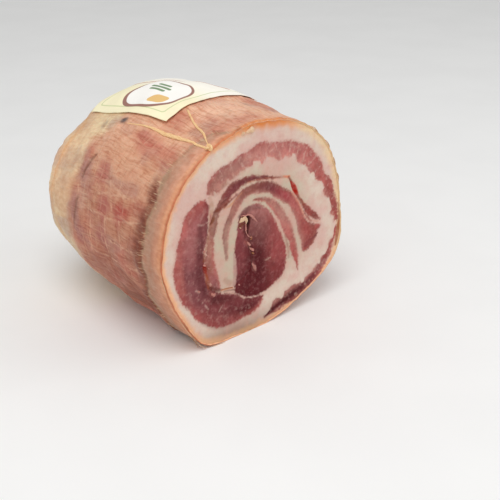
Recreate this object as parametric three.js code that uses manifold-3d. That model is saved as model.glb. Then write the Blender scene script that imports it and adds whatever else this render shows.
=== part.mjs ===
// Half of a rolled pancetta, lying on its slumped side, with its cut face to the front.
// Millimetres. Places on the roll are given from the cut: x across the cut face, back from the cut
// into the roll, z up from the flat that it rests on, and angle round the roll from +x towards +z.

import * as THREE from 'three';
import { mergeVertices } from 'three/addons/utils/BufferGeometryUtils.js';
import Module from 'manifold-3d';

const wasm = await Module();
wasm.setup();

const { smoothstep, degToRad, euclideanModulo, lerp } = THREE.MathUtils;

// Roll: an oval about 15 cm across, 17 cm from the cut to the closed end
const ROLL_LENGTH = 165.5;
const HALF_WIDTH = 75;
const HALF_HEIGHT = 70.6;
const AXIS_HEIGHT = 69.3;

// Broad swellings of the soft roll, with how much of each is lost towards the closed end
const SWELLINGS = [
  { at: 236.5, rise: 7.4, spread: 16, lost: 0.9 },
  { at: 39, rise: 3.0, spread: 27, lost: 0 },
  { at: 335, rise: 10.2, spread: 22, lost: 0.5 },
];
const SWELLING_FADE = [15, 90];

// Hollows of the soft roll, which grow towards the closed end
const HOLLOWS = [
  { at: 131, rise: -4.3, spread: 11 },
  { at: 230, rise: -5.4, spread: 44 },
];
const HOLLOW_FADE = [85, 130];

// Barrel: the roll is fullest a little before its middle
const BARREL = { at: 72, spread: 39, widthGain: 0.02, heightGain: 0.05 };

// Closed end: rounds over from its shoulder to the tip, which sags towards the board
const SHOULDER_BACK = 102;
const END_ROUNDNESS = 3;
const END_SAG = 0.7;
const FOLDS = { depth: 1.5, from: 120, full: 158 };
const FOLD_WAVES = [{ count: 11, phase: 0.6 }, { count: 19, phase: 2.1 }];
const NAVEL = { depth: 4, reach: 0.14 };

// Slow unevenness of the wall, faded in from the crisp rim
const LUMPS = [
  { around: 3, along: 14, size: 0.7 },
  { around: 7, along: -8, size: 0.45 },
  { around: 13, along: 5, size: 0.25 },
];
const LUMP_FADE = 30;

// Casing, peeled back from the rim by a width that changes round the roll
const CASING_STEP = 1.0;
const STEP_RUN = 0.8;
const PEEL = [
  { at: 0, width: 8 },
  { at: 55, width: 0 },
  { at: 101, width: 0 },
  { at: 114, width: 12 },
  { at: 137, width: 18 },
  { at: 153, width: 15.8 },
  { at: 168, width: 17.2 },
  { at: 190, width: 19.5 },
  { at: 216, width: 29 },
  { at: 250, width: 24 },
  { at: 300, width: 12 },
  { at: 360, width: 8 },
];
const LEAST_PEEL = 5;
const RIM_CHAMFER = 0.8;

// Facets of the roll
const ROUND_SEGMENTS = 96;
const FACE_RINGS = 5;
const BAND_ROWS = 4;
const WALL_ROWS = 11;
const END_ROWS = 12;

// Relief of the cut: seams between the turns, a gaping slit and a pocket at the core, as x, z
const SEAM_HALF_WIDTH = 1.3;
const SEAM_SPACING = 3.5;
const TURN_SEAM = [
  [57, 62], [46, 70], [39, 79], [33, 91], [28, 98], [19, 100], [8, 102.5], [-6, 103.5],
  [-18, 99], [-30, 93], [-37, 84], [-41, 72], [-43, 59], [-41, 47], [-34, 38], [-24, 34],
];
const CORE_SEAM = [[-7, 78], [-8, 69], [-5, 61], [-2, 52], [-4, 45], [-10, 40], [-18, 36]];
const SLIT = { from: [28.5, 98], to: [39, 80], width: 3.0, depth: 2.4 };
const POCKET = { from: [-7.6, 82], to: [-6.3, 74.5], width: 3.2, depth: 6 };
const LEAF_SEGMENTS = 6;

// Paper label over the top of the wall: near and far side by angle, front and back edge by distance
const LABEL = {
  nearFront: 118, nearBack: 123.5, nearBulge: 2.4, farSide: 52, frontNear: 43.5, frontFar: 52, back: 121,
};
const LABEL_THICKNESS = 0.6;
const LABEL_CURL = { rise: 1.4, reach: 0.3 };
const LABEL_WAVES = { size: 0.5, across: 9, lengthwise: 7, phase: 1 };
const LABEL_CELLS = [14, 16];

// Twine: two strands that lie on the wall and meet in a knot at the rim, as angle and distance back
const TWINE_SIDES = 8;
const STRAND_SPACING = 4;
const LONG_STRAND = {
  radius: 0.85,
  route: [[120.3, 1.6], [120.6, 10], [121, 17], [122, 27], [123.2, 37], [124.2, 47], [126, 58], [128, 68]],
};
const SHORT_STRAND = {
  radius: 0.6,
  route: [[119.6, 2.4], [117, 8], [113.5, 16], [110.5, 28], [105.5, 42]],
};
const KNOT = { angle: 120, back: 1.2, halfSize: [2.1, 2.4, 1.5], sides: 12 };

// Clearance of what lies on the roll
const LABEL_GAP = 0.4;
const TWINE_GAP = 0.75;

// Points closer than this are one point
const WELD = 1e-4;

const FINISHES = {
  pancetta: { color: 0xc98a76, roughness: 0.5, metalness: 0 },
  label: { color: 0xf4ecc2, roughness: 0.8, metalness: 0 },
  twine: { color: 0xd9b37c, roughness: 0.9, metalness: 0 },
};

// Shape of the roll

function swelling(angle, { at, rise, spread }) {
  const off = euclideanModulo(angle - at + 180, 360) - 180;
  return rise * Math.exp(-((off / spread) ** 2));
}

function ovalRadius(angle) {
  const a = degToRad(angle);
  return (HALF_WIDTH * HALF_HEIGHT) / Math.hypot(HALF_HEIGHT * Math.cos(a), HALF_WIDTH * Math.sin(a));
}

function peelWidth(angle) {
  const turn = euclideanModulo(angle, 360);
  const next = Math.max(1, PEEL.findIndex((stop) => stop.at >= turn));
  const [a, b] = [PEEL[next - 1], PEEL[next]];
  return lerp(a.width, b.width, smoothstep(turn, a.at, b.at));
}

function casingRise(angle, back) {
  const width = peelWidth(angle);
  const bare = 1 - smoothstep(back, width - STEP_RUN, width + STEP_RUN);
  return CASING_STEP * (0.5 - bare * Math.min(1, width / LEAST_PEEL));
}

function lumps(angle, back) {
  const wave = ({ around, along, size }) =>
    size * Math.sin(degToRad(angle) * around + back / along + around);
  return smoothstep(back, 0, LUMP_FADE) * LUMPS.reduce((sum, lump) => sum + wave(lump), 0);
}

function folds(angle, back) {
  const wave = ({ count, phase }) => Math.sin(degToRad(angle) * count + phase);
  const rise = FOLD_WAVES.reduce((sum, fold) => sum + wave(fold), 0) / FOLD_WAVES.length;
  return FOLDS.depth * smoothstep(back, FOLDS.from, FOLDS.full) * rise;
}

function radiusAt(angle, back) {
  const faded = smoothstep(back, ...SWELLING_FADE);
  const swell = SWELLINGS.reduce((sum, s) => sum + swelling(angle, s) * (1 - s.lost * faded), 0);
  const hollow = smoothstep(back, ...HOLLOW_FADE) * HOLLOWS.reduce((sum, h) => sum + swelling(angle, h), 0);
  const soft = lumps(angle, back) + folds(angle, back);
  return ovalRadius(angle) + swell + hollow + casingRise(angle, back) + soft;
}

// Point on the wall or the closed end, or proud of it by a distance
function rollPoint(angle, back, proud = 0) {
  const fullness = Math.exp(-(((back - BARREL.at) / BARREL.spread) ** 2));
  const t = THREE.MathUtils.clamp((back - SHOULDER_BACK) / (ROLL_LENGTH - SHOULDER_BACK), 0, 1);
  const closing = Math.sqrt(1 - t ** END_ROUNDNESS);
  const r = radiusAt(angle, back) * closing + proud;
  const across = (1 + BARREL.widthGain * fullness) * r;
  const up = (1 + BARREL.heightGain * fullness) * r;
  const axis = AXIS_HEIGHT * (1 + BARREL.heightGain * fullness) * (1 - END_SAG * (1 - closing));
  const a = degToRad(angle);
  const navel = NAVEL.depth * Math.exp(-((closing / NAVEL.reach) ** 2));
  return new THREE.Vector3(across * Math.cos(a), back - navel, Math.max(0, axis + up * Math.sin(a)));
}

// Rings of the roll from the middle of the cut, over the rim and along the wall, to the tip

function faceRing(fraction) {
  return (angle) => {
    const rim = rollPoint(angle, 0, -RIM_CHAMFER);
    return new THREE.Vector3(rim.x * fraction, 0, lerp(AXIS_HEIGHT, rim.z, fraction));
  };
}

function bandRow(fraction) {
  return (angle) => {
    const end = Math.max(LEAST_PEEL, peelWidth(angle)) - STEP_RUN;
    return rollPoint(angle, lerp(RIM_CHAMFER, end, fraction));
  };
}

function wallRow(fraction) {
  return (angle) => {
    const start = Math.max(LEAST_PEEL, peelWidth(angle)) + STEP_RUN;
    return rollPoint(angle, lerp(start, SHOULDER_BACK, fraction));
  };
}

function endRow(fraction) {
  const t = 1 - (1 - fraction) ** 2;
  return (angle) => rollPoint(angle, lerp(SHOULDER_BACK, ROLL_LENGTH, t));
}

function rollRings() {
  const rings = [];
  for (let i = 1; i <= FACE_RINGS; i++) rings.push(faceRing(i / FACE_RINGS));
  for (let i = 0; i <= BAND_ROWS; i++) rings.push(bandRow(i / BAND_ROWS));
  for (let i = 0; i < WALL_ROWS; i++) rings.push(wallRow(i / WALL_ROWS));
  for (let i = 0; i < END_ROWS; i++) rings.push(endRow(i / END_ROWS));
  return rings;
}

// Closed skin through a stack of rings, with a point at each end
function skinRings(rings, firstPoint, lastPoint) {
  const positions = [...firstPoint];
  for (const ring of rings) {
    for (let i = 0; i < ROUND_SEGMENTS; i++) positions.push(...ring((360 * i) / ROUND_SEGMENTS));
  }
  positions.push(...lastPoint);
  const last = positions.length / 3 - 1;
  const at = (row, i) => 1 + row * ROUND_SEGMENTS + (i % ROUND_SEGMENTS);
  const index = [];
  for (let i = 0; i < ROUND_SEGMENTS; i++) {
    index.push(0, at(0, i), at(0, i + 1));
    for (let row = 0; row < rings.length - 1; row++) {
      index.push(at(row, i), at(row + 1, i), at(row + 1, i + 1));
      index.push(at(row, i), at(row + 1, i + 1), at(row, i + 1));
    }
    index.push(last, at(rings.length - 1, i + 1), at(rings.length - 1, i));
  }
  const geometry = new THREE.BufferGeometry();
  geometry.setAttribute('position', new THREE.Float32BufferAttribute(positions, 3));
  geometry.setIndex(index);
  return geometry;
}

// Joins and cuts

function toSolid(geometry) {
  geometry.deleteAttribute('normal');
  geometry.deleteAttribute('uv');
  const merged = mergeVertices(geometry, WELD);
  const vertProperties = new Float32Array(merged.attributes.position.array);
  const triVerts = new Uint32Array(merged.index.array);
  return new wasm.Manifold(new wasm.Mesh({ numProp: 3, vertProperties, triVerts }));
}

function toGeometry(solid) {
  const { vertProperties, triVerts } = solid.getMesh();
  const geometry = new THREE.BufferGeometry();
  geometry.setAttribute('position', new THREE.BufferAttribute(vertProperties, 3));
  geometry.setIndex(new THREE.BufferAttribute(triVerts, 1));
  return geometry;
}

// Cutters for the relief of the cut face

function seamCutter(points) {
  const curve = new THREE.CatmullRomCurve3(points.map(([x, z]) => new THREE.Vector3(x, 0, z)));
  const w = SEAM_HALF_WIDTH;
  const corners = [[w, 0], [0, w], [-w, 0], [0, -w]];
  const section = new THREE.Shape(corners.map((corner) => new THREE.Vector2(...corner)));
  const steps = Math.round(curve.getLength() / SEAM_SPACING);
  return new THREE.ExtrudeGeometry(section, { extrudePath: curve, steps });
}

function leafCutter({ from, to, width, depth }) {
  const start = new THREE.Vector2(...from);
  const end = new THREE.Vector2(...to);
  const side = end.clone().sub(start).normalize().rotateAround(new THREE.Vector2(), Math.PI / 2);
  const middle = start.clone().lerp(end, 0.5);
  const leaf = new THREE.Shape();
  leaf.moveTo(...start);
  leaf.quadraticCurveTo(...middle.clone().addScaledVector(side, width), ...end);
  leaf.quadraticCurveTo(...middle.clone().addScaledVector(side, -width), ...start);
  const options = { depth: depth * 2, bevelEnabled: false, curveSegments: LEAF_SEGMENTS };
  const geometry = new THREE.ExtrudeGeometry(leaf, options);
  geometry.rotateX(Math.PI / 2);
  geometry.translate(0, depth, 0);
  return geometry;
}

function makeRoll() {
  const tip = rollPoint(0, ROLL_LENGTH);
  let solid = toSolid(skinRings(rollRings(), [0, 0, AXIS_HEIGHT], [0, tip.y, tip.z]));
  const seams = [TURN_SEAM, CORE_SEAM].map(seamCutter);
  const leaves = [SLIT, POCKET].map(leafCutter);
  for (const cutter of [...seams, ...leaves]) solid = solid.subtract(toSolid(cutter));
  return toGeometry(solid);
}

// Label: a thin wavy sheet laid over the wall, its front corner curled up a little

function labelPoint(u, v, lift) {
  const near = lerp(LABEL.nearFront, LABEL.nearBack, v) + 4 * LABEL.nearBulge * v * (1 - v);
  const angle = lerp(near, LABEL.farSide, u);
  const back = lerp(lerp(LABEL.frontNear, LABEL.frontFar, u), LABEL.back, v);
  const curl = LABEL_CURL.rise * Math.max(0, 1 - Math.hypot(u, v) / LABEL_CURL.reach) ** 2;
  const { size, across, lengthwise, phase } = LABEL_WAVES;
  const wave = size * (1 + Math.sin(u * across + phase) * Math.sin(v * lengthwise));
  return rollPoint(angle, back, LABEL_GAP + curl + wave + lift);
}

function makeLabel() {
  const [across, along] = LABEL_CELLS;
  const sheet = new THREE.BoxGeometry(1, 1, 1, across, along, 1);
  const position = sheet.attributes.position;
  for (let i = 0; i < position.count; i++) {
    const lift = position.getZ(i) > 0 ? LABEL_THICKNESS : 0;
    const point = labelPoint(position.getX(i) + 0.5, position.getY(i) + 0.5, lift);
    position.setXYZ(i, ...point);
  }
  return toGeometry(toSolid(sheet));
}

// Twine

class WallCurve extends THREE.Curve {
  constructor(route, proud) {
    super();
    const places = route.map(([angle, back]) => new THREE.Vector3(angle, back, 0));
    this.route = new THREE.CatmullRomCurve3(places);
    this.proud = proud;
  }

  getPoint(t) {
    const { x: angle, y: back } = this.route.getPoint(t);
    return rollPoint(angle, back, this.proud);
  }
}

function makeStrand({ radius, route }) {
  const curve = new WallCurve(route, TWINE_GAP + radius);
  const section = new THREE.Shape();
  section.absarc(0, 0, radius, 0, 2 * Math.PI);
  const steps = Math.round(curve.getLength() / STRAND_SPACING);
  return new THREE.ExtrudeGeometry(section, { extrudePath: curve, steps, curveSegments: TWINE_SIDES / 2 });
}

function makeKnot() {
  const knot = new THREE.SphereGeometry(1, KNOT.sides, Math.round(KNOT.sides / 1.5));
  const [halfWidth, halfLength, halfHeight] = KNOT.halfSize;
  knot.scale(halfWidth, halfLength, halfHeight);
  knot.rotateY(degToRad(90 - KNOT.angle));
  knot.translate(...rollPoint(KNOT.angle, KNOT.back, TWINE_GAP + halfHeight));
  return knot;
}

function makeTwine() {
  const solids = [makeStrand(LONG_STRAND), makeStrand(SHORT_STRAND), makeKnot()].map(toSolid);
  return toGeometry(solids.reduce((joined, solid) => joined.add(solid)));
}

// The finished part, with its origin under the middle of its box

function piece(name, geometry) {
  geometry.computeVertexNormals();
  const mesh = new THREE.Mesh(geometry, new THREE.MeshStandardMaterial(FINISHES[name]));
  mesh.name = name;
  return mesh;
}

const pieces = new THREE.Group();
pieces.add(piece('pancetta', makeRoll()));
pieces.add(piece('label', makeLabel()));
pieces.add(piece('twine', makeTwine()));

const middle = new THREE.Box3().setFromObject(pieces).getCenter(new THREE.Vector3());
pieces.position.set(-middle.x, -middle.y, 0);

const part = new THREE.Group();
part.add(pieces);

export default part;
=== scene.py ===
"""Half of a rolled pancetta on a pale floor.

Sizes are in millimetres until a mesh is made. Places on the roll are given from the cut, as in the
solids: x across the cut face, back from the cut into the roll, z up from the flat it rests on, and
angle round the roll, in degrees, from +x towards +z.
"""

import math

import bpy
import numpy as np
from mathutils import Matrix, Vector


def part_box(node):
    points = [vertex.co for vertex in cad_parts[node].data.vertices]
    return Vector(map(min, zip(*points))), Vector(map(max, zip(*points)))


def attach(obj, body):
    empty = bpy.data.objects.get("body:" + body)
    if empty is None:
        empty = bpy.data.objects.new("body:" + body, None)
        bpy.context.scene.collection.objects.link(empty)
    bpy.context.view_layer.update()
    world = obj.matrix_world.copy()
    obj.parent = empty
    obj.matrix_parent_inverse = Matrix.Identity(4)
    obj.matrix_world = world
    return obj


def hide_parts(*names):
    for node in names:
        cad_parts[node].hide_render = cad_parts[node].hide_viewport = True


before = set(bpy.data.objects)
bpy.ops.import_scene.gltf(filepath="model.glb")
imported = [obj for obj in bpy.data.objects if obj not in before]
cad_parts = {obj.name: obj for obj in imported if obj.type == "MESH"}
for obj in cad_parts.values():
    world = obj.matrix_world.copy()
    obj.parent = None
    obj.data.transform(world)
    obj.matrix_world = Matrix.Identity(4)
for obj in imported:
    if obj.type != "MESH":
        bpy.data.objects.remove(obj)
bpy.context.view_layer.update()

MM = 0.001

# Roll: an oval about 15 cm across, 17 cm from the cut to the closed end
ROLL_LENGTH = 165.5
HALF_WIDTH = 75
HALF_HEIGHT = 70.6
AXIS_HEIGHT = 69.3
SWELLINGS = [(236.5, 7.4, 16, 0.9), (39, 3.0, 27, 0), (335, 10.2, 22, 0.5)]
SWELLING_FADE = (15, 90)
HOLLOWS = [(131, 4.3, 11), (230, 5.4, 44)]
HOLLOW_FADE = (85, 130)
BARREL_AT = 72
BARREL_SPREAD = 39
BARREL_WIDTH_GAIN = 0.02
BARREL_HEIGHT_GAIN = 0.05
SHOULDER_BACK = 102
END_SAG = 0.7
FOLD_DEPTH = 1.5
FOLD_REACH = (120, 158)
FOLD_WAVES = [(11, 0.6), (19, 2.1)]
NAVEL_DEPTH = 4
NAVEL_REACH = 0.14
LUMPS = [(3, 14, 0.7), (7, -8, 0.45), (13, 5, 0.25)]
LUMP_FADE = 30

# Casing, peeled back from the rim by a width that changes round the roll
CASING_STEP = 1.0
STEP_RUN = 0.8
PEEL_ANGLES = (0, 55, 101, 114, 137, 153, 168, 190, 216, 250, 300, 360)
PEEL_WIDTHS = (8, 0, 0, 12, 18, 15.8, 17.2, 19.5, 29, 24, 12, 8)
LEAST_PEEL = 5
TEAR_COARSE = 1.3
TEAR_FINE = 0.9

# Cut face: a slab set into a shallow recess of the casing, so that the rind shows as its rim
RECESS = 8
SLAB_DEPTH = 7
SLAB_INSET = 1.1
FACE_CELLS = 298

# Seams, slit and pocket of the cut, as x, z
TURN_SEAM = [
    (57, 62), (46, 70), (39, 79), (33, 91), (28, 98), (19, 100), (8, 102.5), (-6, 103.5),
    (-18, 99), (-30, 93), (-37, 84), (-41, 72), (-43, 59), (-41, 47), (-34, 38), (-24, 34),
]
CORE_SEAM = [(-7, 78), (-8, 69), (-5, 61), (-2, 52), (-4, 45), (-10, 40), (-18, 36)]
SLIT = [(28.8, 98, 0.4), (33, 89.6, 2.6), (39, 80.4, 0.4)]
SLIT_DEPTH = 1.2
POCKET = [(-7.2, 82, 0.4), (-6.4, 78.6, 2.8), (-6.6, 74.8, 0.4)]
POCKET_DEPTH = 5

# Camera: lens, place and direction, in the part's own millimetres
FOCAL_LENGTH = 64.8
SENSOR_WIDTH = 36
CAMERA_PLACE = (-351.3, -383.9, 294.7)
CAMERA_LOOK = (0.6084, 0.6757, -0.4163)


# Numbers and noise

def smooth(value, low, high):
    share = np.clip((value - low) / (high - low), 0, 1)
    return share * share * (3 - 2 * share)


def mix(a, b, share):
    return a + (b - a) * share


def blend(a, b, share):
    """Colour a turning into colour b, for a whole array of shares."""
    return mix(a, b, np.asarray(share)[..., None])


def bell(value, middle, spread):
    return np.exp(-((value - middle) / spread) ** 2)


def turned(angle, start):
    """Angle from start, between -180 and 180."""
    return (angle - start + 180) % 360 - 180


def hump(angle, middle, spread):
    """Bell over an angle, from 0 to 1."""
    return bell(turned(angle, middle), 0, spread)


def rgb(red, green, blue):
    """Colour given as it shows on a screen, from 0 to 255, as light."""
    shown = np.array([red, green, blue]) / 255
    return np.where(shown <= 0.04045, shown / 12.92, ((shown + 0.055) / 1.055) ** 2.4)


LATTICE_SIZE = 64
LATTICE = np.random.default_rng(11).random((LATTICE_SIZE,) * 3)


def noise(points, scale, seed):
    """Smooth noise from -1 to 1, with features about as large as scale, in each direction."""
    place = points / np.asarray(scale, float) + 17.3 * seed + 0.37
    cell = np.floor(place).astype(int)
    share = place - cell
    share = share * share * (3 - 2 * share)
    total = 0
    for corner in np.ndindex(2, 2, 2):
        weight = np.where(corner, share, 1 - share).prod(-1)
        x, y, z = np.moveaxis((cell + corner) % LATTICE_SIZE, -1, 0)
        total = total + weight * LATTICE[x, y, z]
    return 2 * total - 1


def curve(points, steps=4):
    """Smooth curve through the points, each a place with any number of values."""
    points = np.array(points, float)
    padded = np.vstack([2 * points[0] - points[1], points, 2 * points[-1] - points[-2]])
    made = []
    for before, a, b, after in zip(padded, padded[1:], padded[2:], padded[3:]):
        for t in np.arange(steps) / steps:
            bend = (2 * before - 5 * a + 4 * b - after) * t + (3 * a - before - 3 * b + after) * t * t
            made.append(a + t * (b - before + bend) / 2)
    return np.array(made + [points[-1]])


def follow(x, z, route):
    """Gap to the edge of a band, negative inside, with the distance along it and to its side."""
    points = curve(route)
    half = points[:, 2] / 2 if points.shape[1] > 2 else np.zeros(len(points))
    gap = np.full(x.shape, np.inf)
    along = np.zeros(x.shape)
    side = np.zeros(x.shape)
    start = 0
    for a, b, half_a, half_b in zip(points, points[1:], half, half[1:]):
        run_x, run_z = b[0] - a[0], b[1] - a[1]
        length = math.hypot(run_x, run_z)
        share = np.clip(((x - a[0]) * run_x + (z - a[1]) * run_z) / length ** 2, 0, 1)
        off_x = x - a[0] - share * run_x
        off_z = z - a[1] - share * run_z
        away = np.hypot(off_x, off_z)
        here = away - mix(half_a, half_b, share)
        closer = here < gap
        gap = np.where(closer, here, gap)
        along = np.where(closer, start + share * length, along)
        side = np.where(closer, np.sign(run_x * off_z - run_z * off_x) * away, side)
        start += length
    return gap, along, side


def inside(x, z, outline):
    """Gap to a closed outline, negative inside."""
    points = curve(outline + outline[:1])
    crossings = np.zeros(x.shape, int)
    for a, b in zip(points, points[1:]):
        spans = (a[1] > z) != (b[1] > z)
        rise = b[1] - a[1] if b[1] != a[1] else 1
        crossings += spans & (x < a[0] + (z - a[1]) / rise * (b[0] - a[0]))
    gap = follow(x, z, outline + outline[:1])[0]
    return np.where(crossings % 2 == 1, -gap, gap)


# Shape of the roll

def round_place(angle, back):
    """Place on a plain cylinder about as thick as the roll, for noise that runs round it."""
    a = np.radians(angle)
    return np.stack(np.broadcast_arrays(HALF_WIDTH * np.cos(a), HALF_WIDTH * np.sin(a), back), -1)


def peel_width(angle):
    turn = angle % 360
    width = np.zeros(np.shape(angle)) + PEEL_WIDTHS[-1]
    for at, end, a, b in zip(PEEL_ANGLES, PEEL_ANGLES[1:], PEEL_WIDTHS, PEEL_WIDTHS[1:]):
        width = np.where((turn >= at) & (turn < end), mix(a, b, smooth(turn, at, end)), width)
    return width


def torn_edge(angle):
    """Where the casing starts, with the small tears of its edge."""
    place = round_place(angle, 0)
    tears = TEAR_COARSE * noise(place, 7, 1) + TEAR_FINE * noise(place, 2.4, 2)
    width = peel_width(angle)
    return width + tears * np.minimum(1, width / LEAST_PEEL)


def casing_rise(angle, back):
    width = torn_edge(angle)
    bare = 1 - smooth(back, width - STEP_RUN, width + STEP_RUN)
    return CASING_STEP * (0.5 - bare * np.clip(width / LEAST_PEEL, 0, 1))


def lumps(angle, back):
    total = 0
    for around, along, size in LUMPS:
        total = total + size * np.sin(np.radians(angle) * around + back / along + around)
    return smooth(back, 0, LUMP_FADE) * total


def folds(angle, back):
    rise = sum(np.sin(np.radians(angle) * count + phase) for count, phase in FOLD_WAVES)
    return FOLD_DEPTH * smooth(back, *FOLD_REACH) * rise / len(FOLD_WAVES)


def soft_relief(angle, back):
    """Slow unevenness that the label follows too."""
    place = round_place(angle, back)
    rim = 0.4 * noise(place, 3, 5) * bell(back, 0, 3)
    return 0.5 * noise(place, 15, 3) + 0.25 * noise(place, 6, 4) + rim


def radius_at(angle, back):
    a = np.radians(angle)
    oval = HALF_WIDTH * HALF_HEIGHT / np.hypot(HALF_HEIGHT * np.cos(a), HALF_WIDTH * np.sin(a))
    swell = 0
    for at, rise, spread, lost in SWELLINGS:
        kept = 1 - lost * smooth(back, *SWELLING_FADE)
        swell = swell + rise * hump(angle, at, spread) * kept
    for at, depth, spread in HOLLOWS:
        swell = swell - depth * hump(angle, at, spread) * smooth(back, *HOLLOW_FADE)
    return oval + swell + casing_rise(angle, back) + lumps(angle, back) + folds(angle, back)


def closing_at(back):
    """Share of its width that the roll keeps as it closes."""
    share = np.clip((back - SHOULDER_BACK) / (ROLL_LENGTH - SHOULDER_BACK), 0, 1)
    return np.sqrt(1 - share ** 3)


def roll_point(angle, back, proud=0):
    fullness = bell(back, BARREL_AT, BARREL_SPREAD)
    closing = closing_at(back)
    relief = soft_relief(angle, back) * closing
    r = radius_at(angle, back) * closing + relief + proud
    height_gain = 1 + BARREL_HEIGHT_GAIN * fullness
    x = (1 + BARREL_WIDTH_GAIN * fullness) * r * np.cos(np.radians(angle))
    axis = AXIS_HEIGHT * height_gain * (1 - END_SAG * (1 - closing))
    z = np.maximum(0, axis + height_gain * r * np.sin(np.radians(angle)))
    navel = NAVEL_DEPTH * np.exp(-(closing / NAVEL_REACH) ** 2)
    return np.stack(np.broadcast_arrays(x, back - navel, z), -1)


# Meshes, from millimetres on the roll to metres in the frame

def roll_shift():
    """How far the roll's own zero lies from the frame's, from the solid's box."""
    low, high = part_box("pancetta")
    angle, back = np.meshgrid(np.arange(0, 360, 2), np.arange(0, SHOULDER_BACK, 3))
    wall = roll_point(angle, back)[..., 0]
    middle = (low.x + high.x) / 2 / MM - (wall.min() + wall.max()) / 2
    return np.array([middle, low.y / MM, 0])


SHIFT = roll_shift()


def make_piece(name, points, faces, node, values):
    """A smooth mesh that rides on the part, with its values at the points for its material."""
    mesh = bpy.data.meshes.new(name)
    mesh.from_pydata(((points + SHIFT) * MM).tolist(), [], faces)
    for value_name, value in values.items():
        kind, field = ("FLOAT", "value") if value.ndim == 1 else ("FLOAT_VECTOR", "vector")
        data = mesh.attributes.new(value_name, kind, "POINT").data
        data.foreach_set(field, value.astype(np.float32).ravel())
    mesh.polygons.foreach_set("use_smooth", np.ones(len(mesh.polygons), bool))
    mesh.update()
    piece = bpy.data.objects.new(name, mesh)
    bpy.context.scene.collection.objects.link(piece)
    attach(piece, "root")
    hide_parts(node)
    return piece


def grid_faces(rows, columns, closed):
    """Quads over rows of points, joined round to a ring where closed."""
    steps = columns if closed else columns - 1
    row, column = np.meshgrid(np.arange(rows - 1), np.arange(steps), indexing="ij")
    ahead = (column + 1) % columns
    here = row * columns
    beyond = here + columns
    corners = [here + column, beyond + column, beyond + ahead, here + ahead]
    return np.stack(corners, -1).reshape(-1, 4).tolist()


def fan_faces(ring, middle, turned_over=False):
    """Triangles from a closed ring of points to one point."""
    ahead = np.roll(ring, -1)
    sides = (ahead, ring) if turned_over else (ring, ahead)
    return np.stack([*sides, np.full(len(ring), middle)], -1).tolist()


def strip_faces(ring, other):
    """Quads between two closed rings of points."""
    return np.stack([ring, np.roll(ring, -1), np.roll(other, -1), other], -1).tolist()


def border(rows, columns):
    """Numbers of the points round the edge of a grid, in order."""
    index = np.arange(rows * columns).reshape(rows, columns)
    return np.concatenate([index[:-1, 0], index[-1, :-1], index[:0:-1, -1], index[0, :0:-1]])


def with_extra(value, *extra):
    """A value of every grid point, one row a point, followed by those of the points named in extra."""
    flat = value.reshape(value.shape[0] * value.shape[1], -1)
    whole = np.vstack([flat] + [flat[rows] for rows in extra])
    return whole[:, 0] if value.ndim == 2 else whole


# Tones of the lean

COLOURS = {
    "purple": rgb(142, 82, 84),
    "maroon": rgb(124, 60, 62),
    "deep": rgb(92, 27, 32),
    "salmon": rgb(172, 118, 105),
    "peach": rgb(182, 128, 116),
    "light": rgb(202, 138, 126),
    "bright": rgb(198, 124, 116),
    "rose": rgb(188, 110, 102),
    "brick": rgb(184, 98, 90),
    "red": rgb(166, 82, 76),
    "crimson": rgb(164, 74, 76),
    "brown": rgb(152, 94, 82),
    "mauve": rgb(162, 100, 98),
    "tan": rgb(178, 138, 122),
}

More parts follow.
